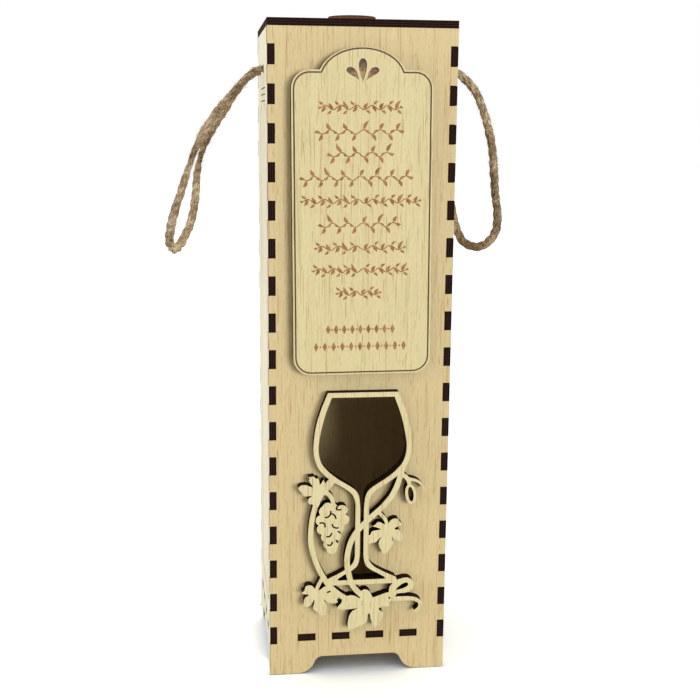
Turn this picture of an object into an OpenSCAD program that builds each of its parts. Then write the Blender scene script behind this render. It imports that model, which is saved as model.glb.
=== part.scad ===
// Wine box of laser-cut plywood: four finger-jointed walls on bracket feet, a floor on
// tabs, a lift-off lid, a glued plaque, a glued fretwork of a glass in a vine, and a
// rope loop on each side. Millimetres, Z up, front towards -Y, origin under the middle.

/* [Case] */
// Width of the case, left to right
case_w = 100; // [96:1:120]
// Depth of the case, front to back
case_d = 100; // [96:1:120]
// Height of the walls, up to the underside of the lid
case_h = 358; // [350:1:380]
// Thickness of the plywood of the walls, the floor and the lid
ply_t = 4; // [3:0.5:5]
// Height of the floor's underside above the ground
floor_z = 20; // [18:0.5:24]

/* [Finger joints] */
// Distance from one finger to the next
finger_pitch = 20; // [18:0.5:24]
// Height of one notch in the front and back walls
notch_h = 10.5; // [8:0.5:12]
// Height of the middle of the lowest finger
finger_z = 23.8; // [22:0.1:26]
// Gap all round a finger or a tab
joint_gap = 0.2; // [0.1:0.05:0.3]
// Number of tabs on each edge of the floor
tab_n = 4; // [2:1:4]
// Distance from one floor tab to the next
tab_pitch = 19.5; // [17:0.5:21]
// Width of one floor slot
slot_w = 10.2; // [8:0.2:12]

/* [Feet] */
// Height of the arch between two feet
arch_h = 10; // [8:0.5:13]
// Straight length along the top of the arch
arch_flat = 40; // [30:1:44]
// Radius in the arch's upper corners
arch_r = 5; // [4:0.5:6]
// Radius on the inner edge of each foot
foot_r = 10; // [7.5:0.5:11]

/* [Lid] */
// Thickness of the locating plate under the lid
locator_t = 4; // [3:0.5:6]
// Gap between the locating plate and the walls
locator_gap = 0.5; // [0.3:0.1:1]
// Diameter of the knob's stem
stem_d = 16; // [10:1:18]
// Height of the knob's stem
stem_h = 2.5; // [2:0.5:4]
// Diameter of the knob's cap
cap_d = 26.5; // [22:0.5:34]
// Thickness of the knob's cap in the middle
cap_t = 3; // [2.5:0.5:5]
// How much the cap's top is domed
cap_dome = 0.5; // [0.3:0.1:1]
// Diameter of the raised middle of the knob's cap
dome_d = 16.5; // [12:0.5:18]

/* [Plaque] */
// Width of the plaque
plaque_w = 74.2; // [66:0.1:80]
// Sideways place of the plaque's middle
plaque_x = -0.5; // [-2:0.1:2]
// How far the plaque leans to the left, in degrees
plaque_lean = 0.45; // [-1.5:0.05:1.5]
// Height of the plaque, up to its shoulders
plaque_h = 160.1; // [150:0.1:163]
// Height of the plaque's lower edge above the ground
plaque_z = 176.2; // [175:0.1:180]
// Thickness of the plaque
plaque_t = 6; // [3:0.5:8]
// Radius of the plaque's four corners
plaque_r = 9.5; // [5:0.5:12]
// Width of the dome between the shoulders
dome_w = 44.4; // [36:0.2:48]
// Height of the dome above the shoulders
dome_h = 11.5; // [8:0.1:13]
// Distance from the plaque's edge to its engraved line
border_in = 0.9; // [0.8:0.1:4]
// Width of the engraved line
border_w = 0.8; // [0.4:0.1:1.2]
// How much higher the engraved line's dome is than the plaque's
border_rise = 0.5; // [0:0.1:0.6]
// Depth of the engraved line
border_cut = 0.4; // [0.2:0.1:1]
// Depth of the three engraved drops
drop_cut = 0.5; // [0.2:0.1:1]

/* [Fretwork] */
// Thickness of the fretwork
fret_t = 6; // [3:0.5:8]
// How far the middle of the glass lies to the right
glass_x = 1; // [-3:0.5:3]
// How much wider than the inside of the glass the wall's window is, all round
window_ease = 0.6; // [0.3:0.1:1]
// Width of the main stems of the vine
stem_w = 3.1; // [2.4:0.1:3.6]
// Width of the thin stems and tendrils
tendril_w = 2.1; // [1.6:0.1:2.6]
// Radius of one grape
grape_r = 3.1; // [2.8:0.1:3.4]
// Width of the slits that part grapes and lobes
slit_w = 0.9; // [0.6:0.1:1.2]

/* [Rope] */
// Diameter of the rope
rope_d = 4.5; // [3.5:0.5:5]
// Gap round the rope in its hole
rope_gap = 0.25; // [0.2:0.05:0.6]
// How far below the walls' top the rope holes are
rope_down = 20; // [17:1:33]
// Distance between the two rope holes of one side
rope_pitch = 30; // [26:1:34]
// Diameter of one knot
knot_d = 11; // [9:0.5:12]
// Length of the tail under one knot
tail_l = 10; // [7:0.5:14]

/* [Hidden] */

wood = [0.84, 0.75, 0.56];
pale_wood = [0.90, 0.85, 0.67];
rope_tan = [0.64, 0.55, 0.43];

$fn = 48;
eps = 1;

// Half of what stands proud of the front, so that the whole stands over the origin
proud = max(plaque_t, fret_t) / 2;
front_y = proud - case_d / 2;
back_y = proud + case_d / 2;
inner_w = case_w - 2 * ply_t;
inner_d = case_d - 2 * ply_t;
finger_h = notch_h - 2 * joint_gap;
finger_n = floor((case_h - finger_z - notch_h) / finger_pitch) + 1;
slot_h = ply_t + 2 * joint_gap;
slot_mid = floor_z + ply_t / 2;
top_z = case_h + ply_t;
rope_z = case_h - rope_down;

// Points on an oval stretch, from one angle to another
function oval(cx, cy, rx, ry, a0, a1, n) =
    [for (i = [0:n]) let (a = a0 + (a1 - a0) * i / n) [cx + rx * cos(a), cy + ry * sin(a)]];
// Points on a round stretch, from one angle to another
function arc(cx, cy, r, a0, a1, n) = oval(cx, cy, r, r, a0, a1, n);
// A point on the smooth curve through b and c, at t from 0 to 1
function smooth(a, b, c, d, t) =
    (2 * b + (c - a) * t + (2 * a - 5 * b + 4 * c - d) * t * t
        + (3 * b - a - 3 * c + d) * t * t * t) / 2;
// A smooth open curve through the points p, with n steps to each stretch
function curve(p, n) = let (e = len(p) - 1) concat(
    [for (i = [0:e - 1]) for (k = [0:n - 1])
        smooth(p[max(i - 1, 0)], p[i], p[i + 1], p[min(i + 2, e)], k / n)], [p[e]]);
// A smooth closed curve through the points p
function loop(p, n) = let (m = len(p))
    [for (i = [0:m - 1]) for (k = [0:n - 1])
        smooth(p[(i + m - 1) % m], p[i], p[(i + 1) % m], p[(i + 2) % m], k / n)];
function unit(v) = v / norm(v);
// Direction of the line p at its point i
function heading(p, i) = unit(p[min(i + 1, len(p) - 1)] - p[max(i - 1, 0)]);
function mirrored(p) = [for (i = [len(p) - 1:-1:0]) [-p[i].x, p[i].y]];

// A strip along the points p, of width w0 at its start and w1 at its end
module strip(p, w0, w1) {
    c = curve(p, 4);
    e = len(c) - 1;
    side = function (i, s) let (h = heading(c, i), w = (w0 + (w1 - w0) * i / e) / 2)
        c[i] + s * w * [-h.y, h.x];
    polygon(concat([for (i = [0:e]) side(i, 1)], [for (i = [e:-1:0]) side(i, -1)]));
}

// Stands an outline up in a wall across the box, its outer face at y, its inner at y + t
module across(y, t) {
    translate([0, y + t, 0]) rotate([90, 0, 0]) linear_extrude(t) children();
}

// Stands an outline up in a side wall, from x to x + t
module along(x, t) {
    translate([x, proud, 0]) rotate([90, 0, 90]) linear_extrude(t) children();
}

// The space between two feet: an ogee of two arcs that meet on one tangent
module arch_outline() {
    s = foot_r + arch_r;
    run = sqrt(s * s - pow(s - arch_h, 2));
    lean = atan2(arch_h - s, run);
    left = concat([[-arch_flat / 2 - run, -eps]],
        arc(-arch_flat / 2 - run, foot_r, foot_r, -90, lean, 8),
        arc(-arch_flat / 2, arch_h - arch_r, arch_r, 180 + lean, 90, 6));
    polygon(concat(left, mirrored(left)));
}

// The middle heights of the fingers
finger_zs = [for (i = [0:finger_n - 1]) finger_z + i * finger_pitch];
// The places of the floor's tabs along an edge
tab_xs = [for (i = [0:tab_n - 1]) (i - (tab_n - 1) / 2) * tab_pitch];

module floor_slots() {
    for (x = tab_xs) translate([x, slot_mid]) square([slot_w, slot_h], center = true);
}

// Front and back wall: a full-width plate, notched for the fingers of the side walls
module wall_outline() {
    difference() {
        translate([-case_w / 2, 0]) square([case_w, case_h]);
        for (z = finger_zs) for (s = [-1, 1])
            translate([s * (case_w + eps - ply_t) / 2, z])
                square([ply_t + eps, notch_h], center = true);
        floor_slots();
        arch_outline();
    }
}

// Side wall: a plate between the front and the back, whose fingers reach their outer faces
module side_outline() {
    difference() {
        union() {
            translate([-inner_d / 2, 0]) square([inner_d, case_h]);
            for (z = finger_zs) translate([0, z]) square([case_d, finger_h], center = true);
        }
        floor_slots();
        arch_outline();
        for (s = [-1, 1])
            translate([s * rope_pitch / 2, rope_z]) circle(d = rope_d + 2 * rope_gap);
    }
}

module front_panel() {
    color(wood) across(front_y, ply_t) difference() {
        wall_outline();
        glass_window();
    }
}

module back_panel() {
    color(wood) across(back_y - ply_t, ply_t) wall_outline();
}

module left_side_panel() {
    color(pale_wood) along(-case_w / 2, ply_t) side_outline();
}

module right_side_panel() {
    color(pale_wood) along(case_w / 2 - ply_t, ply_t) side_outline();
}

module floor_panel() {
    tab_w = slot_w - 2 * joint_gap;
    color(wood) translate([0, proud, floor_z]) linear_extrude(ply_t) {
        square([inner_w, inner_d], center = true);
        for (x = tab_xs) {
            translate([x, 0]) square([tab_w, case_d], center = true);
            translate([0, x]) square([case_w, tab_w], center = true);
        }
    }
}

// The plaque's outline: round corners, two shoulders and between them a dome, which is the
// top of an oval and can rise a little higher than the plaque's own
module plaque_outline(rise = 0) {
    x = plaque_w / 2 - plaque_r;
    shoulder = plaque_z + plaque_h;
    rx = 1.04 * dome_w / 2;
    low = acos(1 / 1.04);
    ry = (dome_h + rise) / (1 - sin(low));
    right = concat(arc(x, plaque_z + plaque_r, plaque_r, -90, 0, 8),
        arc(x, shoulder - plaque_r, plaque_r, 0, 90, 8),
        oval(0, shoulder - ry * sin(low), rx, ry, low, 90, 16));
    polygon(concat(right, mirrored(right)));
}

// An engraved drop with its tip at the origin, l long and d wide, turned by a, its sides
// pushed over by lean half way
module drop(l, d, a, lean) {
    full = 0.702;
    rotate(a) polygon([for (t = [0:15:345]) let (u = (1 - cos(t)) / 2)
        [d / 2 * sin(t) * pow(sin(t / 2), 1.5) / full + lean * 4 * u * (1 - u), l * u]]);
}

module drops_outline() {
    tip_z = plaque_z + plaque_h - 6.2;
    translate([0, tip_z]) drop(11.9, 4.3, 0, 0);
    for (s = [-1, 1]) translate([s * 1.9, tip_z + 0.9]) drop(8.7, 3.7, -s * 46, -s * 0.7);
}

module message_plaque() {
    middle = plaque_z + (plaque_h + dome_h) / 2;
    color(pale_wood) translate([plaque_x, 0, middle]) rotate([0, -plaque_lean, 0])
        translate([0, 0, -middle]) difference() {
            across(front_y - plaque_t, plaque_t) plaque_outline();
            across(front_y - plaque_t - eps, border_cut + eps) difference() {
                offset(delta = -border_in) plaque_outline(border_rise);
                offset(delta = -border_in - border_w) plaque_outline(border_rise);
            }
            across(front_y - plaque_t - eps, drop_cut + eps) drops_outline();
        }
}

// The right half of the glass's outer edge, from its rim down to its foot
glass_side = concat([[19.4, 166]],
    curve([[22.6, 158], [24.9, 151], [26.4, 144], [27.1, 137], [27.1, 133], [26.6, 129.8],
        [25.5, 126.1], [23.9, 122.9], [21.7, 120.3], [18.8, 117.7], [15.4, 115.2],
        [11.6, 112.9], [8.4, 110.8], [6, 108.6], [4.6, 106.3], [3.9, 103], [3.8, 97],
        [3.8, 75], [3.9, 71.5], [4.7, 68.5], [6.8, 65.9], [9, 64.3], [13.1, 62], [17.3, 60]], 3),
    [[19.4, 58.9], [20.1, 57.4], [18.9, 55.2]]);
// The right half of its inner edge
glass_hollow = concat([[17.2, 163.3]],
    curve([[19.8, 156.5], [21.8, 150], [23.4, 143], [24.3, 137], [24.3, 133], [23.8, 129.8],
        [22.6, 126.3], [20.5, 123.4], [17.7, 120.6], [15.1, 118.4], [12.1, 116.3],
        [8.6, 114.1], [5.6, 112.1], [3.5, 110.2], [2.2, 108], [1.5, 105.2], [1.1, 101],
        [1, 95], [1, 76], [1.1, 72], [1.5, 69], [2.5, 66.3], [3.9, 64.8], [5.8, 63.4],
        [8.2, 62.1], [10.4, 60.8], [12.6, 59.4], [13.4, 58.7]], 3),
    [[13.3, 58]]);

module glass_half_pair(side) {
    translate([glass_x, 0]) polygon(concat(side, mirrored(side)));
}

// The window in the wall, wider all round than the inside of the glass
module glass_window() {
    offset(delta = window_ease) glass_half_pair(glass_hollow);
}

// The four leaves, each as its lobes and the notches between them
upper_leaf = [[-26.4, 113], [-27.4, 114.8], [-28.6, 116.7], [-28.3, 117.8], [-29, 119.1],
    [-27.9, 118.8], [-26.9, 119.2], [-25.9, 119.2], [-25.2, 118.3], [-24.4, 117.9],
    [-23.7, 118.1], [-23.1, 117.2], [-22.8, 115.8], [-22.6, 114.2], [-21.4, 115.8],
    [-20.6, 117.1], [-20, 116], [-19.6, 114.8], [-17.6, 115.6], [-17.6, 111], [-20, 108.5],
    [-21.9, 105.6], [-23.4, 101.6], [-26, 101.6], [-26.4, 103.1], [-28.4, 103.4],
    [-29.3, 105], [-28.6, 106.8], [-26.8, 108], [-29, 108], [-31.6, 108.2], [-32.4, 109.8],
    [-34, 111.5], [-34.4, 113.2], [-32.4, 114.3], [-30, 114.3], [-27.8, 113.4]];
right_leaf = [[15.7, 90.5], [16.8, 92.1], [18.2, 93.1], [19.9, 93.4], [21.5, 93],
    [22, 91.8], [23.8, 89.7], [21.6, 89], [19.5, 87.6], [20.4, 86.7], [21.6, 87],
    [22.9, 85.4], [23.9, 82.8], [23.5, 80], [20.8, 80.5], [19.2, 81], [18, 83.1],
    [18.1, 80.6], [18.9, 79.1], [16.8, 75.5], [14.1, 72.4], [11.9, 75.3], [10.6, 78],
    [10.8, 80.8], [12.3, 82.8], [10.4, 81.6], [9.2, 80.1], [7.4, 79.5], [3, 79.4],
    [3, 83.8], [5.6, 84.2], [6.6, 86.2], [8.6, 86.8], [11.8, 87.3], [9, 88.7], [6.9, 89.2],
    [8.7, 90.3], [9.7, 91.6], [11.7, 91.4], [13.9, 90]];
lower_leaf = [[-24.6, 53.2], [-26.2, 54.9], [-27, 55.6], [-28.6, 55.9], [-30.4, 55.2],
    [-31, 52.9], [-32.5, 51.6], [-31.4, 50.7], [-28.2, 50.3], [-30.4, 48.9], [-31.3, 46.8],
    [-31.3, 43.8], [-30.2, 43], [-28, 43.6], [-26.6, 45.2], [-25.6, 47.6], [-25.5, 45.2],
    [-26.2, 42], [-24.4, 40], [-20.8, 37.2], [-19.2, 38.8], [-18.4, 42.6], [-19.2, 45.2],
    [-20.3, 47.2], [-18.6, 45.7], [-16.6, 44.8], [-13.8, 44.5], [-12.2, 45.2],
    [-12.9, 46.7], [-12, 47.6], [-13, 50.6], [-17, 54], [-19.5, 54.8], [-21, 53.9],
    [-22.6, 52.8]];
main_leaf = [[-11.2, 47.5], [-8.4, 48.5], [-6.4, 48.7], [-4.6, 49], [-2, 48.2], [0.4, 46.8],
    [0.6, 50], [1.5, 51.6], [3.2, 52.1], [5, 51.4], [6.4, 49.8], [7.4, 47.3], [9.4, 47.6],
    [12.6, 48.7], [16.8, 49.8], [18, 47], [17.8, 44.4], [16.9, 43.4], [17.5, 42.4],
    [16.6, 41.3], [14, 41.2], [12.2, 41], [11, 39.7], [12.8, 38.5], [13.6, 36.8],
    [12.8, 33.6], [10.6, 30.5], [9.1, 29.3], [7.6, 31.5], [6.5, 34.4], [6.2, 36.6],
    [5.6, 37.6], [4.8, 36.6], [4.7, 34], [3.2, 31.4], [-0.7, 29.7], [-5, 28.2],
    [-6.5, 28.6], [-6.5, 32.5], [-5.6, 36.8], [-3.6, 39.7], [-0.6, 40.9], [-4.2, 40.7],
    [-8, 40.5], [-12.5, 41], [-11.9, 42.8], [-10.2, 44.6], [-9.9, 46.6]];
// The loop of the lower tendril, and the eye in it
bow = [[16.8, 47], [16.7, 50.4], [17.2, 53.2], [18.9, 55.2], [20.3, 57], [22, 57.3],
    [25.8, 58.2], [29.2, 57.3], [30.9, 54.3], [30.2, 51.4], [28.2, 49.7], [25.4, 49],
    [21.6, 48.8], [20, 47]];
bow_eye = [[20.8, 51], [22, 52.8], [24, 54.3], [26, 55.2], [27.4, 55], [27.7, 54],
    [27, 52.9], [25, 51.9], [22.9, 51.3]];

// The middles of the grapes, row by row
grapes = [[-19.9, 98.9], [-18.2, 100.8], [-15.2, 100], [-10.3, 99.2], [-21.8, 93.7],
    [-17, 94], [-12, 94.6], [-9.2, 93.8], [-21.1, 88.6], [-16.6, 88.6], [-12, 89.4],
    [-18.8, 84], [-14.6, 84], [-13.7, 84.6], [-17.5, 79.8], [-15, 79.6], [-15.8, 77]];

// The slits between grapes, each along a few points
grape_slits = [[[-19.8, 95.4], [-18.3, 95.5], [-17.1, 96.3], [-16.5, 97.7], [-16.5, 99.2]],
    [[-16.4, 97.4], [-15.2, 97.1], [-14.2, 96.2], [-13.5, 94.3]],
    [[-12.8, 101.8], [-13.2, 99.8], [-10.6, 99.6]],
    [[-22.7, 92], [-21.7, 92.4], [-20.4, 92.1], [-19.7, 91.2], [-19.7, 89.6]],
    [[-15.6, 91.6], [-15.3, 90.2], [-14.3, 89.3], [-13.2, 89], [-12, 89.2]],
    [[-19, 84.2], [-17.6, 84.1], [-16.5, 84.8], [-15.9, 86.3]],
    [[-18.4, 79.5], [-17.2, 79], [-16.1, 79.4], [-15.5, 81.1]],
    [[-12.7, 87], [-11.6, 86.6], [-10.8, 85.6]], [[-13.4, 82.1], [-12.5, 80.3]]];

// The slits in the leaves
leaf_slits = [[[-18.4, 51.2], [-16.4, 51.8]], [[16.8, 46.9], [17.4, 45.9]]];

module stems() {
    strip([[-24.6, 104], [-25.2, 101.5], [-26.7, 95], [-27.5, 88], [-27.5, 81],
        [-26.2, 74.5], [-24.5, 69], [-22.4, 64], [-20, 59.5], [-17.5, 55.5], [-14, 51.8],
        [-10, 48.6], [-6, 46]], 2.8, stem_w);
    strip([[23.4, 123], [21.9, 117], [20, 111.5], [17, 105.8], [12.6, 100.6], [8, 96.4],
        [4, 92.8], [1, 89.6], [-2, 86.2], [-4.5, 82], [-6.2, 77], [-7.1, 71.5], [-7, 66],
        [-6, 61], [-4.6, 56], [-2, 52], [1.4, 48.6], [4, 46]], stem_w, stem_w);
    strip([[-21, 110.3], [-19.4, 112.2], [-16.2, 116], [-15.4, 117]], 4, 4);
    strip([[-20.4, 110.2], [-18.7, 109.4], [-17.3, 108.2], [-16.3, 106.9], [-15.5, 105],
        [-15, 103], [-14.8, 100]], tendril_w + 0.6, tendril_w);
    strip([[9.6, 98], [11.6, 96], [13.6, 93.8], [14.7, 91.4], [15, 88.6]],
        tendril_w, tendril_w - 0.2);
    strip([[-20.4, 61], [-21.7, 58.6], [-22.8, 56.5], [-23.9, 54], [-24.4, 52.4]],
        tendril_w, tendril_w);
}

module tendrils() {
    strip([[22.6, 119.4], [25, 117.6], [26.5, 115.9], [27.2, 114], [27.5, 112]],
        tendril_w + 0.4, tendril_w);
    translate([28.2, 107.3]) rotate(8) difference() {
        scale([1, 1.94]) circle(3.1);
        scale([1, 2.75]) circle(1.55);
    }
    strip([[25.6, 116.2], [27.5, 116], [29.6, 115.6], [31.6, 114.9], [33.2, 113.8],
        [34.4, 112.4], [35.6, 110.2]], tendril_w, 0.9);
    difference() {
        polygon(loop(bow, 3));
        polygon(loop(bow_eye, 3));
    }
    strip([[14, 46], [19, 45.7], [24.3, 45.7], [28.2, 45.6], [31.3, 45.1], [33.6, 44],
        [34.8, 42.4], [34.7, 40.6], [33.8, 39.1], [31.8, 37.6]], 2.8, 1.8);
}

module leaves() {
    for (l = [upper_leaf, right_leaf, lower_leaf, main_leaf]) polygon(loop(l, 2));
}

module grape_cluster() {
    polygon([[-20, 99], [-15, 102], [-10, 99], [-9.4, 93], [-13, 84], [-15.6, 77],
        [-18.6, 82], [-22, 92]]);
    for (g = grapes) translate(g) circle(grape_r, $fn = 20);
}

module slits() {
    for (l = concat(grape_slits, leaf_slits)) strip(l, slit_w, slit_w);
}

// The fretwork, with its inner corners rounded as a cutting beam leaves them
module glass_vine_overlay() {
    beam = 0.15;
    color(pale_wood) across(front_y - fret_t, fret_t)
        offset(delta = -beam) offset(delta = beam) difference() {
            union() {
                difference() {
                    glass_half_pair(glass_side);
                    glass_half_pair(glass_hollow);
                }
                stems();
                tendrils();
                leaves();
                grape_cluster();
            }
            slits();
        }
}

module lid_panel() {
    color(wood) translate([0, proud, case_h + ply_t / 2])
        cube([case_w, case_d, ply_t], center = true);
}

module lid_locating_plate() {
    color(wood) translate([0, proud, case_h - locator_t / 2])
        cube([inner_w - 2 * locator_gap, inner_d - 2 * locator_gap, locator_t], center = true);
}

module lid_knob_base() {
    color(wood) translate([0, proud, top_z]) cylinder(d = stem_d, h = stem_h);
}

// A cap wider than its stem, so that fingers get under it, with a raised round middle
module lid_knob_button() {
    edge = 0.4;
    rim_r = cap_d / 2 - edge;
    ball = (dome_d * dome_d / 4 + cap_dome * cap_dome) / (2 * cap_dome);
    half = asin(dome_d / 2 / ball);
    profile = concat([[0, 0]],
        arc(rim_r, edge, edge, -90, 0, 4),
        arc(rim_r, cap_t - cap_dome - edge, edge, 0, 90, 4),
        arc(0, cap_t - ball, ball, 90 - half, 90, 6));
    color(wood) translate([0, proud, top_z + stem_h]) rotate_extrude() polygon(profile);
}

// Routes of the two rope loops, from the front hole to the back one: how far out from the
// wall, how far behind the middle of the box, and how far above the holes
left_route = [[0, -15, 0], [5, -15, -1.6], [10.6, -15, -6.3], [17.5, -15, -14],
    [24.9, -15, -22.5], [32.2, -15, -33], [37.6, -15, -44], [41.8, -15, -55], [45.5, -15, -66],
    [49, -14.8, -76], [51.7, -13.5, -86], [52.7, -9.8, -94.5], [50.8, -3.3, -99],
    [47.4, 4, -98], [43.8, 9.5, -92], [40.5, 13, -84], [38.4, 14.5, -74], [37.4, 15, -63],
    [35.8, 15, -52], [32.6, 15, -42], [27.3, 15, -32], [21, 15, -22.5], [14.9, 15, -13],
    [7.6, 15, -4.2], [0, 15, 0]];
right_route = [[0, -15, 0], [5, -15, 0], [12, -15, -4.5], [18.5, -15, -12], [23, -15, -22],
    [26.5, -15, -33], [28.8, -15, -44], [30, -15, -56], [31.2, -15, -68], [32.8, -14.8, -79],
    [32.5, -13, -89], [28.6, -8, -96.5], [23, -0.5, -99], [18, 6.5, -96.5], [14.8, 11.5, -89],
    [12.7, 14, -79], [11, 15, -68], [9.5, 15, -56], [9, 15, -44], [9, 15, -32], [9.6, 15, -20],
    [7, 15, -8], [0, 15, 0]];

// The part of v that stands square to the direction t
function squared(v, t) = unit(v - (v * t) * t);
// A frame carried along the directions t without twisting
function carried(t, up, i = 0) = i == len(t) ? [] :
    let (u = squared(up, t[i])) concat([u], carried(t, u, i + 1));

// A tube round the points p, which starts and ends square to the direction out
module tube(p, d, out, sides = 10) {
    e = len(p) - 1;
    t = [for (i = [0:e]) i == 0 ? out : i == e ? -out : heading(p, i)];
    up = carried(t, [0, 0, 1]);
    rings = [for (i = [0:e]) let (w = cross(t[i], up[i])) for (k = [0:sides - 1])
        p[i] + d / 2 * (cos(360 * k / sides) * up[i] + sin(360 * k / sides) * w)];
    walls = [for (i = [0:e - 1]) for (k = [0:sides - 1])
        let (a = i * sides + k, b = i * sides + (k + 1) % sides)
            for (f = [[a, a + sides, b], [b, a + sides, b + sides]]) f];
    first = [for (k = [1:sides - 2]) [0, k, k + 1]];
    last = [for (k = [1:sides - 2]) [e * sides, e * sides + k + 1, e * sides + k]];
    polyhedron(rings, concat(walls, first, last));
}

// Rope loop on the side s, -1 for left and 1 for right
module rope_loop(route, s) {
    color(rope_tan) tube([for (q = route) [s * (case_w / 2 + q.x),
        proud + q.y * rope_pitch / 30, rope_z + q.z]], rope_d, [s, 0, 0]);
}

// The two ends of one rope: through the wall, then a knot that bears on the inside
module rope_knots(s) {
    seat = 4.2;
    wall_in = case_w / 2 - ply_t;
    color(rope_tan) for (e = [-1, 1]) translate([0, proud + e * rope_pitch / 2, rope_z])
        difference() {
            union() {
                translate([s * (wall_in - seat), 0, 0]) rotate([0, s * 90, 0])
                    cylinder(d = rope_d, h = seat + ply_t);
                translate([s * (wall_in - seat), 0, 0]) sphere(d = knot_d);
                translate([s * (wall_in - seat), 0, 0]) rotate([0, 180 + s * 20, 0])
                    cylinder(d = rope_d, h = knot_d / 2 + tail_l);
            }
            difference() {
                translate([s * (wall_in + ply_t), 0, 0])
                    cube([2 * ply_t, 2 * knot_d, 2 * knot_d], center = true);
                rotate([0, 90, 0]) cylinder(d = rope_d, h = 2 * case_w, center = true);
            }
        }
}

module left_rope_handle() { rope_loop(left_route, -1); }
module right_rope_handle() { rope_loop(right_route, 1); }
module left_rope_knots() { rope_knots(-1); }
module right_rope_knots() { rope_knots(1); }

front_panel();
back_panel();
left_side_panel();
right_side_panel();
floor_panel();
message_plaque();
glass_vine_overlay();
lid_panel();
lid_locating_plate();
lid_knob_base();
lid_knob_button();
left_rope_handle();
right_rope_handle();
left_rope_knots();
right_rope_knots();
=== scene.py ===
"""The looks of a tall wooden box with a loose lid.

Its walls are laser-cut ply with burnt edges. The front carries a plaque and a fretwork of a
wine glass in a vine, and each side a loop of jute rope that is knotted inside.
"""

from __future__ import annotations

import logging
import math
import random
from dataclasses import dataclass
from enum import Enum

import bmesh
import bpy
from mathutils import Matrix, Vector, noise


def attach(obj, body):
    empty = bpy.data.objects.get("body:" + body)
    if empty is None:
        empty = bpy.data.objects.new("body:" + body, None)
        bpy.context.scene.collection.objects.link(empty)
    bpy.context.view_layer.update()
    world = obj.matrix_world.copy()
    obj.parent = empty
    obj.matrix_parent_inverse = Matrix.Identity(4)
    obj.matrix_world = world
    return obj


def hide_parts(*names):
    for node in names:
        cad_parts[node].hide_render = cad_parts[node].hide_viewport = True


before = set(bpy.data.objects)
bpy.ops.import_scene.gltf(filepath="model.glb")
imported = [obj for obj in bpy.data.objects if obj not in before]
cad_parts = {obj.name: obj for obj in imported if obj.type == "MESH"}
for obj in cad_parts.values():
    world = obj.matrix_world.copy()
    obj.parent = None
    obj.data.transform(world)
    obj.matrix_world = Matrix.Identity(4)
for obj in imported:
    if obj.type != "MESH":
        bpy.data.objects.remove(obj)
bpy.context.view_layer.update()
LOG = logging.getLogger("wine_box")

MM = 0.001

Point = tuple[float, float, float]
Flat = tuple[float, float]
Outline = list[Flat]
Table = tuple[Flat, ...]
Row = tuple[float, float, float]
Colour = tuple[float, float, float]
Shade = tuple[float, float, float, float]


class Axis(Enum):
    """A direction of the row frame, by its place in a vector."""

    X = 0
    Y = 1
    Z = 2


def tint(red: float, green: float, blue: float) -> Shade:
    """Turn a screen colour, 0 to 255, into the linear colour that a shader takes.

    Args:
        red, green, blue: the colour as a screen shows it.

    Returns:
        The linear colour with an alpha of 1.
    """

    def linear(value: float) -> float:
        """Undo the screen's curve for one channel."""
        c = value / 255
        return c / 12.92 if c <= 0.04045 else ((c + 0.055) / 1.055) ** 2.4

    return (linear(red), linear(green), linear(blue), 1.0)


# Shader nodes --------


class Value:
    """One output in a node tree, whose arithmetic adds Math nodes."""

    def __init__(self, recipe: Recipe, socket: bpy.types.NodeSocket) -> None:
        """Keep the socket and the recipe that it belongs to."""
        self.recipe = recipe
        self.socket = socket

    def __add__(self, other: Value | float) -> Value:
        """Add."""
        return self.recipe.math("ADD", self, other)

    def __radd__(self, other: float) -> Value:
        """Add, from the right."""
        return self.recipe.math("ADD", other, self)

    def __sub__(self, other: Value | float) -> Value:
        """Subtract."""
        return self.recipe.math("SUBTRACT", self, other)

    def __rsub__(self, other: float) -> Value:
        """Subtract, from the right."""
        return self.recipe.math("SUBTRACT", other, self)

    def __mul__(self, other: Value | float) -> Value:
        """Multiply."""
        return self.recipe.math("MULTIPLY", self, other)

    def __rmul__(self, other: float) -> Value:
        """Multiply, from the right."""
        return self.recipe.math("MULTIPLY", other, self)

    def above(self, edge: Value | float, soft: float) -> Value:
        """Rise from 0 to 1 as the value passes an edge.

        Args:
            edge: where the rise is half way.
            soft: how wide the rise is.

        Returns:
            The mask.
        """
        return self.recipe.math("ADD", (self - edge) * (1 / soft), 0.5, clamp=True)

    def size(self) -> Value:
        """Drop the sign."""
        return self.recipe.math("ABSOLUTE", self)


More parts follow.
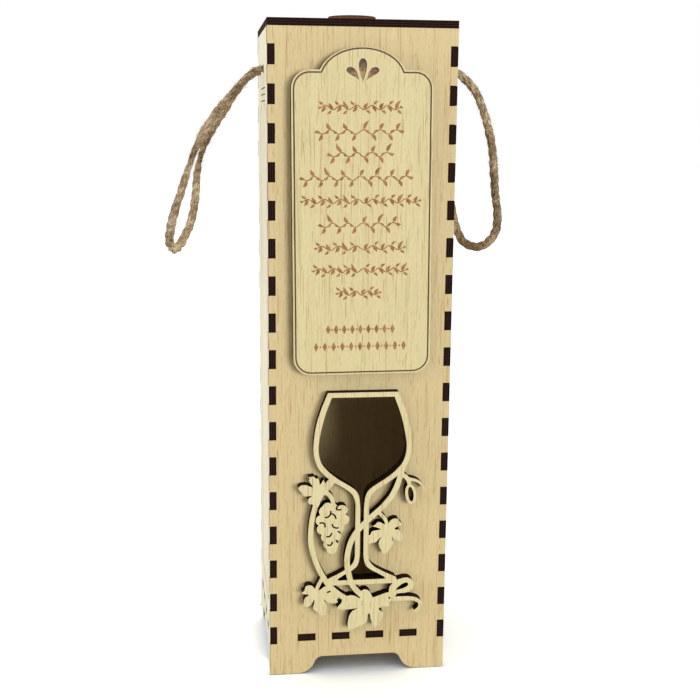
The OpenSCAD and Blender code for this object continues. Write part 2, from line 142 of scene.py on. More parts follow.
class Recipe:
    """The nodes of one material, or of the world."""

    def __init__(self, owner: bpy.types.Material | bpy.types.World) -> None:
        """Start on the owner's node tree, emptied."""
        owner.use_nodes = True
        owner.node_tree.nodes.clear()
        self.owner = owner

    def add(
        self,
        kind: str,
        settings: dict[str, object] | None = None,
        inputs: dict[str | int, object] | None = None,
        output: str | int = 0,
    ) -> Value:
        """Add one node.

        Args:
            kind: the node's type.
            settings: its own settings, set first; "stops" are a ramp's places and colours.
            inputs: values or links for its sockets.
            output: which of its outputs is wanted.

        Returns:
            That output.
        """
        node = self.owner.node_tree.nodes.new(kind)
        for key, setting in (settings or {}).items():
            if key != "stops":
                setattr(node, key, setting)
                continue
            stops = list(setting)
            while len(node.color_ramp.elements) < len(stops):
                node.color_ramp.elements.new(0.5)
            for element, (place, colour) in zip(node.color_ramp.elements, stops):
                element.position, element.color = place, colour
        for key, value in (inputs or {}).items():
            if isinstance(value, Value):
                self.owner.node_tree.links.new(value.socket, node.inputs[key])
            else:
                node.inputs[key].default_value = value
        return Value(self, node.outputs[output] if node.outputs else None)

    def math(self, operation: str, *values: Value | float, clamp: bool = False) -> Value:
        """Add one Math node.

        Args:
            operation: the Math node's operation.
            values: its inputs in order.
            clamp: keeps the result from 0 to 1.

        Returns:
            The result.
        """
        settings = {"operation": operation, "use_clamp": clamp}
        return self.add("ShaderNodeMath", settings, dict(enumerate(values)))

    def split(self, vector: Value) -> tuple[Value, Value, Value]:
        """Return a vector's three parts."""
        node = self.add("ShaderNodeSeparateXYZ", inputs={0: vector}).socket.node
        return tuple(Value(self, node.outputs[k]) for k in range(3))

    def mix(self, amount: Value | float, low: Value | Shade, high: Value | Shade) -> Value:
        """Mix two colours.

        Args:
            amount: 0 for the first colour, 1 for the second.
            low, high: the colours.

        Returns:
            The mixed colour.
        """
        inputs = {0: amount, 6: low, 7: high}
        return self.add("ShaderNodeMix", {"data_type": "RGBA"}, inputs, output=2)

    def ramp(self, at: Value, *stops: tuple[float, Colour]) -> Value:
        """Read a colour from a ramp.

        Args:
            at: where to read it, from 0 to 1.
            stops: places on the ramp and the screen colours there.

        Returns:
            The colour.
        """
        linear = [(place, tint(*colour)) for place, colour in stops]
        return self.add("ShaderNodeValToRGB", {"stops": linear}, {0: at})

    def speckle(self, place: Value, fine: Point, detail: float = 2.0, rough: float = 0.5) -> Value:
        """Add noise, stretched by its own fineness along each axis.

        Args:
            place: the coordinates, in metres.
            fine: how many noise cells go to a metre along each axis.
            detail: the noise's octaves.
            rough: how strong the finer octaves are.

        Returns:
            The noise, about 0.5 in the middle.
        """
        laid = self.add("ShaderNodeMapping", inputs={"Vector": place, "Scale": fine})
        return self.add(
            "ShaderNodeTexNoise",
            {"noise_dimensions": "3D"},
            {"Vector": laid, "Scale": 1.0, "Detail": detail, "Roughness": rough},
        )

    def shader(
        self, colour: Value, roughness: Value | float, bump: Value, depth: float, **fixed: float
    ) -> Value:
        """Add a Principled shader.

        Args:
            colour: the base colour.
            roughness: the roughness.
            bump: the height pattern, from 0 to 1.
            depth: how deep that pattern is, in metres.
            fixed: sockets with one value all over, with _ for a space.

        Returns:
            The shader.
        """
        heights = {"Height": bump, "Strength": 1.0, "Distance": depth}
        normal = self.add("ShaderNodeBump", inputs=heights)
        inputs = {"Base Color": colour, "Roughness": roughness, "Normal": normal}
        inputs |= {key.replace("_", " "): value for key, value in fixed.items()}
        return self.add("ShaderNodeBsdfPrincipled", inputs=inputs)

    def finish(
        self, shader: Value, other: Value | None = None, amount: Value | None = None
    ) -> bpy.types.Material:
        """End the material in one shader, or in a mix of two.

        Args:
            shader: the first shader.
            other: the second, if there is one.
            amount: where the second one shows.

        Returns:
            The material.
        """
        if other is not None:
            shader = self.add("ShaderNodeMixShader", inputs={0: amount, 1: shader, 2: other})
        self.add("ShaderNodeOutputMaterial", inputs={"Surface": shader})
        return self.owner


# Finishes --------


@dataclass(frozen=True)
class Layer:
    """One layer of a veneer's pattern.

    Attributes:
        along, across, deep: noise cells to a metre along the grain, across it and through it.
        detail: the noise's octaves.
        rough: how strong the finer octaves are.
    """

    along: float
    across: float
    deep: float
    detail: float
    rough: float = 0.5


FIGURE = Layer(7, 230, 60, 3, 0.6)
FIBRE = Layer(26, 2100, 300, 3, 0.7)
MOTTLE = Layer(620, 1500, 900, 2, 0.7)
LINES = Layer(6, 620, 60, 1)
LINED = Layer(20, 260, 100, 2)
LONG_PORES = Layer(38, 2600, 350, 0)
SHORT_PORES = Layer(120, 2300, 350, 0)
PORED = Layer(22, 380, 150, 2, 0.6)


@dataclass(frozen=True)
class Ply:
    """Laser-cut poplar ply: a pale veneer with fine pores, and edges burnt by the beam.

    Attributes:
        through, grain: the axes through the sheet and along its grain.
        face, line, pore: the veneer's colours.
        burnt, core: the edge's colours, between the plies and on them.
        outer: where one face of the sheet lies along the first axis.
        thick: the sheet's thickness.
        shift: moves the pattern, so that two sheets differ.
        engraved: browns the floors of the plaque's engraved line and drops, with painted shade in
            the drops.
        line_share, pore_share: how strongly the lines and the pores show.
        grain_depth, char_depth: how deep the bump is on the face and on the edge.
        floors: between which depths the engraved floors lie.
        line_floor: the depth between the line's floor and the drops'.
        drops_at, drops_reach: the drops' middle, and how far from it their painted shade darkens
            them.
    """

    name: str
    through: Axis
    grain: Axis
    face: Colour = (217, 195, 146)
    line: Colour = (176, 142, 88)
    pore: Colour = (160, 114, 54)
    burnt: Colour = (26, 17, 14)
    core: Colour = (60, 39, 32)
    outer: float = 0.0
    thick: float = 0.004
    shift: float = 0.0
    engraved: bool = False
    line_share: float = 0.14
    pore_share: float = 0.60
    grain_depth: float = 0.00007
    char_depth: float = 0.0001
    floors: Flat = (0.0002, 0.0015)
    line_floor: float = 0.00045
    drops_at: Flat = (-0.0010, 0.3306)
    drops_reach: float = 0.0065

    def material(self) -> bpy.types.Material:
        """Build the nodes.

        Returns:
            The material.
        """
        r = Recipe(bpy.data.materials.new(self.name))
        place = r.add("ShaderNodeTexCoord", output="Object")
        facing = r.split(r.add("ShaderNodeTexCoord", output="Normal"))[self.through.value].size()
        moved = r.add("ShaderNodeMapping", inputs={"Vector": place, "Location": (self.shift,) * 3})
        veneer, height = self.veneer(r, moved)
        if self.engraved:
            veneer = self.engrave(r, place, veneer)
        wood = r.shader(veneer, 0.52 + height * 0.16, height, self.grain_depth, IOR=1.45)
        return r.finish(self.edge(r, place), wood, facing.above(0.72, 0.20))

    def edge(self, r: Recipe, place: Value) -> Value:
        """Char the cut edge, with its plies showing as paler bands.

        Args:
            r: the material being made.
            place: the coordinates.

        Returns:
            The edge's shader.
        """
        depth = (r.split(place)[self.through.value] - self.outer) * (1 / self.thick)
        inward = r.math("PINGPONG", depth, 0.5)
        band = inward.above(0.30, 0.05) * (1 - inward.above(0.40, 0.05))
        rim = 1 - inward.above(0.07, 0.06)
        soot = r.speckle(place, (700, 700, 700), 3, 0.7)
        pale = (band + rim) * 0.7 + soot.above(0.60, 0.4) * 0.4
        char = r.mix(pale, tint(*self.burnt), tint(*self.core))
        return r.shader(char, 0.75 + soot * 0.2, soot, self.char_depth, Specular_IOR_Level=0.03)

    def veneer(self, r: Recipe, place: Value) -> tuple[Value, Value]:
        """Draw the face's grain.

        Args:
            r: the material being made.
            place: the coordinates.

        Returns:
            The colour, and the height pattern.
        """
        figure, fibre, mottle, wander, lined, long_pores, short_pores, pored = (
            self.laid(r, place, layer)
            for layer in (
                FIGURE, FIBRE, MOTTLE, LINES, LINED, LONG_PORES, SHORT_PORES, PORED,
            )
        )
        tone = figure * 0.6 + fibre * 0.7 + mottle * 0.8
        colour = r.mix(tone.above(1.06, 0.60), self.shade(0.90), self.shade(1.07))
        lines = 1 - r.math("MINIMUM", (wander - 0.5).size() * 34, 1.0)
        lines = lines * lined.above(0.52, 0.16)
        colour = r.mix(lines * self.line_share, colour, tint(*self.line))
        pits = long_pores.above(0.728, 0.05) + short_pores.above(0.765, 0.05)
        pits = r.math("MINIMUM", pits, 1.0) * pored.above(0.40, 0.20)
        colour = r.mix(pits * self.pore_share, colour, tint(*self.pore))
        return colour, fibre * 0.6 + figure * 0.2 + mottle * 0.2 - pits * 0.3 - lines * 0.2

    def engrave(self, r: Recipe, place: Value, colour: Value) -> Value:
        """Brown the floors of the plaque's engraved line and drops, and darken the drops away from
        their middle as painted shade.

        Args:
            r: the material being made.
            place: the coordinates.
            colour: the colour so far.

        Returns:
            The colour with browned floors.
        """
        x, y, z = r.split(place)
        top, bottom = self.floors
        sunk = y.above(self.outer + top, 0.0001) * (1 - y.above(self.outer + bottom, 0.0002))
        line = 1 - y.above(self.outer + self.line_floor, 0.00004)
        across, up = x - self.drops_at[0], z - self.drops_at[1]
        reach = r.math("SQRT", across * across + up * up)
        cloud = r.speckle(place, (1100, 400, 620), 3, 0.75)
        # The drops' floors darken away from their middle, with noise: the engraving's brown with
        # painted shade of the recess.
        burn_and_shade = (reach - self.drops_reach) * 100 + cloud * 2.6 - 0.95
        drop = r.ramp(
            burn_and_shade, (0.0, (176, 142, 98)), (0.3, (132, 94, 60)), (0.6, (84, 56, 38)),
            (0.9, (42, 28, 22)),
        )
        groove = r.mix(cloud.above(0.5, 0.5), tint(58, 32, 14), tint(112, 70, 40))
        return r.mix(sunk, colour, r.mix(line, drop, groove))

    def laid(self, r: Recipe, place: Value, layer: Layer) -> Value:
        """Lay one layer of the pattern along this sheet's grain.

        Args:
            r: the material being made.
            place: the coordinates.
            layer: the layer.

        Returns:
            The layer's noise.
        """
        fine = [layer.across] * 3
        fine[self.grain.value] = layer.along
        fine[self.through.value] = layer.deep
        return r.speckle(place, tuple(fine), layer.detail, layer.rough)

    def shade(self, factor: float) -> Shade:
        """Return the veneer's colour, lighter or darker, with more change where it is yellow."""
        r, g, b, a = tint(*self.face)
        return (r * factor, g * factor ** 1.15, b * factor ** 1.5, a)


@dataclass(frozen=True)
class Soot:
    """The brown that a light pass of the beam leaves on the veneer."""

    name: str
    dark: Colour = (128, 86, 50)
    light: Colour = (178, 134, 88)
    depth: float = 0.00004

    def material(self) -> bpy.types.Material:
        """Build the nodes.

        Returns:
            The material.
        """
        r = Recipe(bpy.data.materials.new(self.name))
        place = r.add("ShaderNodeTexCoord", output="Object")
        grain = r.speckle(place, (2600, 2600, 240), 2, 0.6)
        cloud = r.speckle(place, (420, 420, 420), 2, 0.5)
        colour = r.mix((grain + cloud).above(1.0, 0.5), tint(*self.dark), tint(*self.light))
        rough = 0.7 + grain * 0.15
        return r.finish(r.shader(colour, rough, grain, self.depth, Specular_IOR_Level=0.3))


@dataclass(frozen=True)
class Jute:
    """Twisted jute: long dull fibres that wind along each strand, on the strand's UV map.

    Attributes:
        dark, mid, light: the fibres' colours.
        metres: how long a strand's UV map is, about.
        fibre: how long a fibre looks.
        threads: how many fibres lie round a strand.
        skew: how far they wind round it on their length.
        depth: how deep the gaps between them are.
    """

    name: str
    dark: Colour = (70, 50, 36)
    mid: Colour = (162, 137, 105)
    light: Colour = (238, 220, 184)
    metres: float = 0.25
    fibre: float = 0.0038
    threads: float = 14
    skew: float = 2.2
    depth: float = 0.0007

    def material(self) -> bpy.types.Material:
        """Build the nodes.

        Returns:
            The material.
        """
        r = Recipe(bpy.data.materials.new(self.name))
        along, around, _ = r.split(r.add("ShaderNodeUVMap", {"uv_map": "UVMap"}))
        place = r.add("ShaderNodeTexCoord", output="Object")
        run = along * (self.metres / self.fibre)
        wound = around * self.threads + run * self.skew
        strand = r.add("ShaderNodeCombineXYZ", inputs={0: run, 1: wound, 2: 0.0})
        fibre = r.speckle(strand, (1.0, 1.0, 1.0), 3, 0.75)
        thread = r.speckle(strand, (3.6, 3.0, 1.0), 2, 0.7)
        patch = r.speckle(place, (420, 420, 420), 2, 0.6)
        stain = r.speckle(place, (85, 85, 85), 1, 0.5)
        level = fibre * 0.50 + thread * 0.60 + patch * 0.25 + stain * 0.30 - 0.325
        colour = r.ramp(
            level, (0.39, self.dark), (0.48, self.mid), (0.54, self.mid), (0.61, self.light)
        )
        height = fibre * 0.6 + thread * 0.4
        return r.finish(r.shader(colour, 0.85, height, self.depth, Specular_IOR_Level=0.2))


# Shapes --------


MERGE = 1e-7
CURVE_STEPS = 12
FIRST_SIDE = (0, 1, 0.2)


def keep(
    name: str, mesh: bpy.types.Mesh, body: str, material: bpy.types.Material
) -> bpy.types.Object:
    """Make a finished mesh a piece of the box.

    Args:
        name: the piece's name.
        mesh: its mesh, in the row frame.
        body: the body that it rides on.
        material: its look.

    Returns:
        The piece.
    """
    piece = bpy.data.objects.new(name, mesh)
    bpy.context.scene.collection.objects.link(piece)
    mesh.materials.clear()
    mesh.materials.append(material)
    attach(piece, body)
    LOG.info("%s: %d faces, on %s", name, len(mesh.polygons), body)
    return piece


def dress(node: str, look: bpy.types.Material) -> None:
    """Give a CAD node its material.

    Args:
        node: the node's name.
        look: its material.
    """
    piece = bpy.data.objects[node]
    if not piece.material_slots:
        piece.data.materials.append(look)
    for place in piece.material_slots:
        place.material = look
    LOG.info("%s: dressed", node)


def eased(table: Table, at: float) -> float:
    """Read a table of places and values, with an even ease between the places.

    Args:
        table: the pairs, in order of place.
        at: where to read it.

    Returns:
        The value there.
    """
    for (start, low), (end, high) in zip(table, table[1:]):
        if at <= end:
            t = (at - start) / (end - start)
            return low + (high - low) * t * t * (3 - 2 * t)
    return table[-1][1]


def smooth_line(points: list[Vector], step: float) -> list[Vector]:
    """Draw a smooth line through points and cut it into even steps.

    Args:
        points: the points, in metres.
        step: the wanted distance between the results.

    Returns:
        Points at even distances along the smooth line.
    """
    ends = [points[0] * 2 - points[1], *points, points[-1] * 2 - points[-2]]
    fine: list[Vector] = []
    for a, b, c, d in zip(ends, ends[1:], ends[2:], ends[3:]):
        for k in range(CURVE_STEPS):
            t = k / CURVE_STEPS
            bend = (a * 2 - b * 5 + c * 4 - d) * t * t + (b * 3 - a - c * 3 + d) * t * t * t
            fine.append((b * 2 + (c - a) * t + bend) / 2)
    fine.append(points[-1].copy())
    total = sum((q - p).length for p, q in zip(fine, fine[1:]))
    count = max(2, round(total / step))
    even, walked, k = [fine[0].copy()], 0.0, 0
    for i in range(1, count):
        want = total * i / count
        while walked + (fine[k + 1] - fine[k]).length < want:
            walked += (fine[k + 1] - fine[k]).length
            k += 1
        even.append(fine[k].lerp(fine[k + 1], (want - walked) / (fine[k + 1] - fine[k]).length))
    return [*even, fine[-1].copy()]


def frames_along(line: list[Vector]) -> list[Matrix]:
    """Carry a frame along a line without a twist.

    Args:
        line: the points.

    Returns:
        One matrix a point, whose Z is the line's direction.
    """
    side = Vector(FIRST_SIDE)
    frames = []
    for i, point in enumerate(line):
        ahead = (line[min(i + 1, len(line) - 1)] - line[max(i - 1, 0)]).normalized()
        side = (side - ahead * side.dot(ahead)).normalized()
        turned = Matrix((side, ahead.cross(side), ahead)).transposed().to_4x4()
        frames.append(Matrix.Translation(point) @ turned)
    return frames


def drawn_mesh(curve: bpy.types.Curve, place: Matrix | None = None) -> bpy.types.Mesh:
    """Turn a curve into a closed mesh.

    Args:
        curve: the curve.
        place: where its mesh goes.

    Returns:
        The mesh, with its doubles merged and its faces outwards.
    """
    holder = bpy.data.objects.new(curve.name, curve)
    mesh = bpy.data.meshes.new_from_object(holder)
    bpy.data.objects.remove(holder)
    bm = bmesh.new()
    bm.from_mesh(mesh)
    bmesh.ops.remove_doubles(bm, verts=bm.verts, dist=MERGE)
    if place is not None:
        bmesh.ops.transform(bm, matrix=place, verts=bm.verts)
    bmesh.ops.recalc_face_normals(bm, faces=bm.faces)
    bm.to_mesh(mesh)
    bm.free()
    return mesh


def tube_curve(
    name: str, lines: list[list[Vector]], radii: list[list[float]], detail: int
) -> bpy.types.Curve:
    """Make a curve of round tubes.

    Args:
        name: the curve's name.
        lines: the points of each tube.
        radii: the radius at each of them.
        detail: how round the tubes are.

    Returns:
        The curve.
    """
    curve = bpy.data.curves.new(name, "CURVE")
    curve.dimensions = "3D"
    curve.bevel_depth = 1.0
    curve.bevel_resolution = detail
    curve.use_fill_caps = True
    for line, sizes in zip(lines, radii):
        spline = curve.splines.new("POLY")
        spline.points.add(len(line) - 1)
        for point, place, radius in zip(spline.points, line, sizes):
            point.co = (*place, 1.0)
            point.radius = radius
    return curve


# Rope --------


EVEN: Table = ((0.0, 1.0), (1.0, 1.0))
KNOT_LEAD: list[Point] = [(0, 0, 0), (1.7, 0, 0), (3.4, 0, 0.2), (4.9, 0, 1.4)]
KNOT_TAIL: list[Point] = [
    (12.4, -1.2, -4.6), (13.0, 0.2, -8.2), (13.6, 0.4, -11.4), (14.3, 0.2, -14.3),
]
COIL_STEPS = 14
COIL_R = 2.9


def knot_route() -> list[Point]:
    """Lead a rope's end into the case, round in a coil, and down.

    Returns:
        Points in millimetres: how far in, along the wall, and up.
    """
    coil = []
    for t in [k / COIL_STEPS for k in range(COIL_STEPS + 1)]:
        turn = math.radians(90 + 570 * t)
        coil.append((6.2 + 5.4 * t, COIL_R * math.cos(turn), COIL_R * math.sin(turn)))
    return KNOT_LEAD + coil + KNOT_TAIL


@dataclass(frozen=True)
class Lay:
    """How a rope is laid up.

    Attributes:
        strands: how many strands it has.
        strand_r, offset: a strand's radius, and its distance from the rope's middle.
        pitch: the length of one full turn.
        step: the distance between the points of a strand.
        uneven, loose: how far the radius and the distance vary, as shares of them.
        swells, drifts: how fast they vary, to a metre.
        detail: how round the strands are.
    """

    strands: int = 3
    strand_r: float = 1.36 * MM
    offset: float = 1.06 * MM
    pitch: float = 17 * MM
    step: float = 0.9 * MM
    uneven: float = 0.24
    loose: float = 0.25
    swells: float = 230
    drifts: float = 120
    detail: int = 3

    def mesh(
        self, name: str, line: list[Vector], seed: float, girth: Table = EVEN
    ) -> bpy.types.Mesh:
        """Lay the strands along a line.

        Args:
            name: the mesh's name.
            line: the rope's centreline, in even steps.
            seed: a number that makes this rope differ from the next.
            girth: how thick the rope is from its start, 0, to its end, 1, against its usual size.

        Returns:
            The mesh, whose UV map runs along each strand and round it.
        """
        step = (line[1] - line[0]).length
        spots = frames_along(line)
        full = [eased(girth, i / (len(line) - 1)) for i in range(len(line))]
        lines, radii = [], []
        for s in range(self.strands):
            strand, sizes = [], []
            for i, (spot, thick) in enumerate(zip(spots, full)):
                turned = math.tau * (i * step / self.pitch + s / self.strands)
                swell = noise.noise(Vector((seed, s * 5.3, i * step * self.swells)))
                drift = noise.noise(Vector((seed + 40, s * 3.7, i * step * self.drifts)))
                out = self.offset * thick * (1 + self.loose * drift)
                strand.append(spot @ Vector((out * math.cos(turned), out * math.sin(turned), 0)))
                sizes.append(self.strand_r * thick * (1 + self.uneven * swell))
            lines.append(strand)
            radii.append(sizes)
        return drawn_mesh(tube_curve(name, lines, radii, self.detail))


KNOT_LAY = Lay(strand_r=1.12 * MM, offset=0.86 * MM, pitch=13 * MM)


@dataclass
class RopeLoop:
    """One rope handle: the loop outside its wall, its stray fibres, and the two knots inside.

    Attributes:
        side: -1 on the left wall, 1 on the right.
        name: how its pieces' names start.
        route: the loop's way, as `at` takes it.
        length, diameter: the cord's own measures; not used.
        seed: a number that makes it differ from the other loop.
        girth: how thick the loop is along its way.
        wall, middle_y, hole_z, hole_y: where the wall and its two holes are.
        fibres, skin: how many stray fibres there are, and how far out they start.
    """

    side: int
    name: str
    route: list[Point]
    length: float
    seed: int
    girth: Table = ((0.0, 1.0), (0.5, 1.06), (1.0, 1.0))
    diameter: float = 4.5 * MM
    wall: float = 50 * MM
    middle_y: float = 3 * MM
    hole_z: float = 338 * MM
    hole_y: float = 15 * MM
    fibres: int = 1700
    skin: float = 2.0 * MM
    lay: Lay = Lay()

    def at(self, out: float, along: float, above: float) -> Vector:
        """Place a point by its distances from the middle between the holes.

        Args:
            out: millimetres out of the wall.
            along: millimetres to the back.
            above: millimetres up.

        Returns:
            The point in the row frame.
        """
        x = self.side * (self.wall + out * MM)
        return Vector((x, self.middle_y + along * MM, self.hole_z + above * MM))

    def build(self, jute: bpy.types.Material, hair: bpy.types.Material) -> None:
        """Make the loop, its fibres and its knots.

        Args:
            jute: the rope's look.
            hair: the stray fibres' look.
        """
        line = smooth_line([self.at(*q) for q in self.route], self.lay.step)
        laid = self.lay.mesh(self.name, line, self.seed, self.girth)
        loop = keep(f"{self.name}_rope", laid, "case", jute)
        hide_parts(f"{self.name}_rope_handle")
        fuzz = keep(f"{self.name}_rope_fibres", self.fuzz(line), "case", hair)
        knots = keep(f"{self.name}_rope_knot_pair", self.knots(), "case", jute)
        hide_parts(f"{self.name}_rope_knots")
        for face in (*loop.data.polygons, *knots.data.polygons):
            face.use_smooth = True

    def fuzz(self, line: list[Vector]) -> bpy.types.Mesh:
        """Make the stray fibres that stand off the rope.

        Args:
            line: the rope's centreline.

        Returns:
            The fibres' mesh.
        """
        rng = random.Random(self.seed)
        steps = [k / 4 for k in range(5)]
        lines, radii = [], []
        spots = frames_along(line)
        for pick in rng.choices(range(len(spots)), k=self.fibres):
            skin = self.skin * eased(self.girth, pick / (len(spots) - 1))
            angle = rng.uniform(0, math.tau)
            out = Vector((math.cos(angle), math.sin(angle), 0))
            lean = Vector((-out.y, out.x, 0)) * rng.uniform(-0.4, 1.2)
            ahead = Vector((0, 0, rng.choice((-1, 1, 1)) * rng.uniform(0.7, 1.6)))
            reach = rng.uniform(0.9, 2.6) * MM
            rise = rng.uniform(0.1, 0.9) ** 2
            curl = rng.uniform(-0.6, 0.1)
            hair = []
            for t in steps:
                away = skin + reach * (rise * t + 0.4 * curl * t * t)
                hair.append(spots[pick] @ (out * away + (lean + ahead) * reach * t))
            lines.append(hair)
            thick = rng.uniform(0.06, 0.12) * MM
            radii.append([thick * (1 - 0.6 * t) for t in steps])
        return drawn_mesh(tube_curve(f"{self.name}_fibres", lines, radii, 0))

    def knots(self) -> bpy.types.Mesh:
        """Tie both ends inside the wall.

        Returns:
            The two knots' mesh.
        """
        bm = bmesh.new()
        for end in (-1, 1):
            points = [self.at(-a, end * self.hole_y / MM + y, z) for a, y, z in knot_route()]
            line = smooth_line(points, self.lay.step)
            bm.from_mesh(KNOT_LAY.mesh(f"{self.name}_knot", line, self.seed + 7 * end))
        mesh = bpy.data.meshes.new(f"{self.name}_knots")
        bm.to_mesh(mesh)
        bm.free()
        return mesh


# Engraving, drawn in millimetres --------


PROUD = 0.03 * MM
LAYER_STEP = 0.004 * MM
ROOT = 0.02 * MM
LEAF_STEPS = 8
TALL_LEAF, LEAF, LOW_LEAF, TIP_LEAF = (5.4, 1.8), (3.9, 1.8), (3.0, 1.3), (1.9, 1.3)
LEAN_DEG, LOW_LEAN_DEG = 58, 38


def ribbon(points: Outline, width: float) -> Outline:
    """Outline a line.

    Args:
        points: the line's points.
        width: its width.

    Returns:
        The closed outline.
    """
    left, right = [], []
    for i, (x, y) in enumerate(points):
        x0, y0 = points[max(i - 1, 0)]
        x1, y1 = points[min(i + 1, len(points) - 1)]
        run = math.hypot(x1 - x0, y1 - y0)
        nx, ny = -(y1 - y0) / run * (width / 2), (x1 - x0) / run * (width / 2)
        left.append((x + nx, y + ny))
        right.append((x - nx, y - ny))
    return left + right[::-1]


def leaf(root: Flat, angle: float, length: float, width: float) -> Outline:
    """Outline a pointed leaf that bends a little.

    Args:
        root: where its stalk end is.
        angle: its direction, in degrees.
        length, width: its size.

    Returns:
        The closed outline.
    """
    ca, sa = math.cos(math.radians(angle)), math.sin(math.radians(angle))
    outline = []
    for sign, steps in ((1, range(0, LEAF_STEPS + 1)), (-1, range(LEAF_STEPS - 1, 0, -1))):
        for t in [k / LEAF_STEPS for k in steps]:
            a = length * t
            bend = 0.10 * length * math.sin(math.pi * t)
            b = sign * width / 2 * math.sin(math.pi * t ** 0.75) + bend
            outline.append((root[0] + a * ca - b * sa, root[1] + a * sa + b * ca))
    return outline


def leaf_angle(up: int, away: int, angle: float) -> float:
    """Return the direction of a leaf that leans away from its row's middle."""
    return angle * up if away > 0 else 180 - angle * up


def engraved(name: str, layers: list[list[Outline]], place: Matrix) -> bpy.types.Mesh:
    """Make thin closed plates from outlines.

    Args:
        name: the mesh's name.
        layers: groups of outlines; those of one group don't cross.
        place: turns the drawing's plane into the surface's.

    Returns:
        The mesh.
    """
    bm = bmesh.new()
    for k, outlines in enumerate(layers):
        proud = PROUD + LAYER_STEP * k
        curve = bpy.data.curves.new(name, "CURVE")
        curve.dimensions = "2D"
        curve.fill_mode = "BOTH"
        curve.extrude = proud / 2 + ROOT
        for outline in outlines:
            spline = curve.splines.new("POLY")
            spline.points.add(len(outline) - 1)
            spline.use_cyclic_u = True
            for point, (x, y) in zip(spline.points, outline):
                point.co = (x * MM, y * MM, 0, 1)
        bm.from_mesh(drawn_mesh(curve, place @ Matrix.Translation((0, 0, proud / 2 - ROOT))))
    mesh = bpy.data.meshes.new(name)
    bm.to_mesh(mesh)
    bm.free()
    return mesh


@dataclass
class Plaque:
    """The plaque: its ply, and rows of plain ornament where a text would be.

    Attributes:
        front_y: where its face is.
        lean_deg, pivot: how far it leans to the left, and about which point.
        rows, low_rows: each row's height and its two ends, for vines and for lozenges.
        nudge: moves all rows to the left.
        wave, swing: the usual length of a stem's wave, and how far it swings.
        margin: the bare stem at each end of a row.
        rise: how far a stem's middle is over its row's height.
        stem: how wide a stem is.
        bead_pace, bead: the usual distance between lozenges, and half of their size.
        dot_r: the radius of the dots between them.
    """

    front_y: float = -53 * MM
    lean_deg: float = 0.45
    pivot: Point = (-0.5 * MM, 0, 262 * MM)
    rows: tuple[Row, ...] = (
        (314.6, -23.1, 20.6), (302.2, -24.8, 21.5), (290.6, -18.5, 16.2), (278.4, -32.9, 26.5),
        (266.5, -32.6, 31.1), (254.0, -23.4, 20.0), (241.9, -25.4, 23.0), (230.0, -26.6, 24.6),
        (217.8, -14.1, 10.0),
    )
    low_rows: tuple[Row, ...] = ((198.1, -20.6, 18.6), (188.8, -27.3, 24.9))
    nudge: float = 0.5
    wave: float = 9.0
    swing: float = 1.15
    margin: float = 1.5
    rise: float = 2.7
    stem: float = 0.56
    bead_pace: float = 4.6
    bead: Flat = (1.25, 2.6)
    dot_r: float = 0.5

    def build(self, ply: bpy.types.Material, soot: bpy.types.Material) -> None:
        """Dress the plaque and engrave its rows.

        Args:
            ply: the plaque's wood.
            soot: what the beam leaves.
        """
        dress("message_plaque", ply)
        stems, leaves = [], []
        for k, row in enumerate(self.rows):
            self.vine_row(row, k, stems, leaves)
        for row in self.low_rows:
            self.bead_row(row, leaves)
        turn = Matrix.Rotation(-math.radians(self.lean_deg), 4, "Y")
        leant = Matrix.Translation(self.pivot) @ turn @ Matrix.Translation(-Vector(self.pivot))
        upright = Matrix.Rotation(math.pi / 2, 4, "X")
        place = leant @ Matrix.Translation((0, self.front_y, 0)) @ upright
        mesh = engraved("plaque_ornament", [stems, leaves], place)
        keep("plaque_ornament", mesh, "case", soot)

    def vine_row(self, row: Row, turn: int, stems: list[Outline], leaves: list[Outline]) -> None:
        """Draw one winding stem with leaves.

        Args:
            row: the row's height and its two ends.
            turn: the row's number, which shifts its wave.
            stems, leaves: the outlines so far.
        """
        z, x0, x1 = row
        middle = (x0 + x1) / 2
        length = x1 - x0 - 2 * self.margin
        waves = max(2, round((x1 - x0) / self.wave))
        pace = length / waves
        sign = 1 if turn % 2 else -1

        def stem_at(x: float) -> Flat:
            """Return the stem's point at one place along the row."""
            phase = math.tau * (x - middle) / pace
            return (x - self.nudge, z + self.rise + sign * self.swing * math.sin(phase))

        count = waves * 10
        line = [stem_at(x0 + self.margin + length * k / count) for k in range(count + 1)]
        stems.append(ribbon(line, self.stem))
        for k in range(waves * 2):
            x = x0 + self.margin + pace * (k + 0.5) / 2
            up = 1 if k % 2 else -1
            away = 1 if x > middle else -1
            at, z_at = stem_at(x)
            size = TALL_LEAF if (k + turn) % 3 == 0 and up > 0 else LEAF
            angle, low_angle = leaf_angle(up, away, LEAN_DEG), leaf_angle(-up, away, LOW_LEAN_DEG)
            leaves.append(leaf((at, z_at + up * 0.2), angle, *size))
            leaves.append(leaf((at + away * 0.9, z_at - up * 0.35), low_angle, *LOW_LEAF))
        for end, away in ((x0, -1), (x1, 1)):
            tip = (end - self.nudge - away * 1.4, z + self.rise)
            stems.append(leaf(tip, 90 - 90 * away, *TIP_LEAF))

    def bead_row(self, row: Row, beads: list[Outline]) -> None:
        """Draw a row of lozenges and dots.

        Args:
            row: the row's height and its two ends.
            beads: the outlines so far.
        """
        z, x0, x1 = row
        count = round((x1 - x0) / self.bead_pace)
        pace = (x1 - x0) / count
        wide, tall = self.bead
        around = [math.tau * j / 12 for j in range(12)]
        for k in range(count):
            x, y = x0 - self.nudge + pace * (k + 0.5), z + 2.8
            beads.append([(x - wide, y), (x, y - tall), (x + wide, y), (x, y + tall)])
            if k:
                mid, r = x - pace / 2, self.dot_r
                beads.append([(mid + r * math.cos(a), y + r * math.sin(a)) for a in around])


# The box --------


